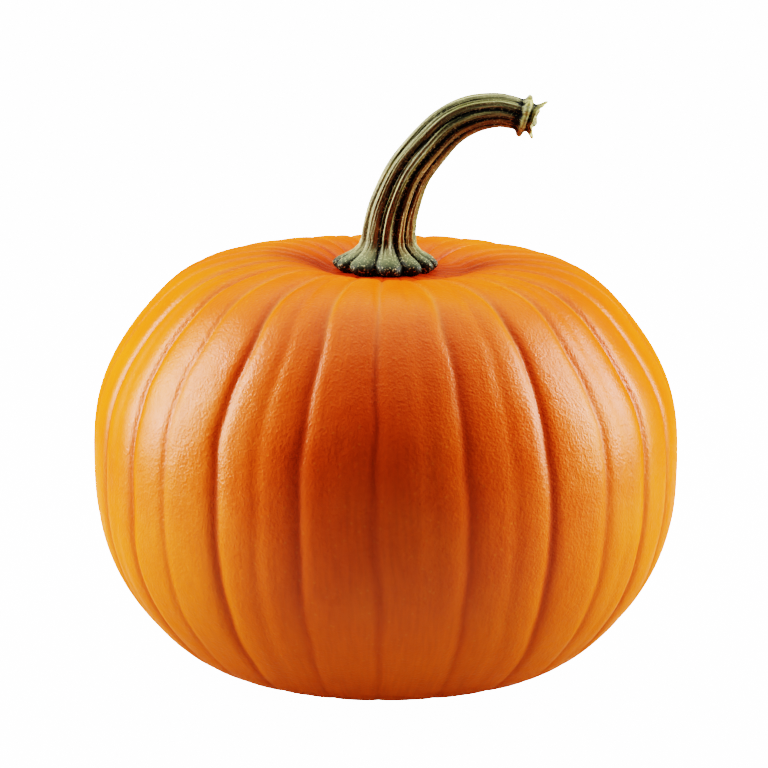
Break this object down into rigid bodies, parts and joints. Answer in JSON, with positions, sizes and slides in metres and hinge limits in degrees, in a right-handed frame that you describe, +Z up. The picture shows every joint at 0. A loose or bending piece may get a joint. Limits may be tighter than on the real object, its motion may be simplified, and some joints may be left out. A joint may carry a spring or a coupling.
{
  "type": "pumpkin",
  "caption": "Whole ribbed orange pumpkin, a little wider than tall, resting on a small flat spot, with a long ridged woody stem that arches to one side.",
  "frame": {"origin": "on the ground, below the middle of the fruit's outline", "axes": "+Z up along the fruit's core, +X towards the side that the stem arches to, -Y towards the front of the fruit"},
  "size_m": [0.2582, 0.258, 0.2595],
  "materials": {
    "rind": "waxy orange rind, satin gloss with a fine pebble",
    "woody_stem": "dry, matt, ridged and speckled green-brown"
  },
  "bodies": {
    "root": {"fruit": "rind", "stem": "woody_stem"}
  },
  "joints": []
}
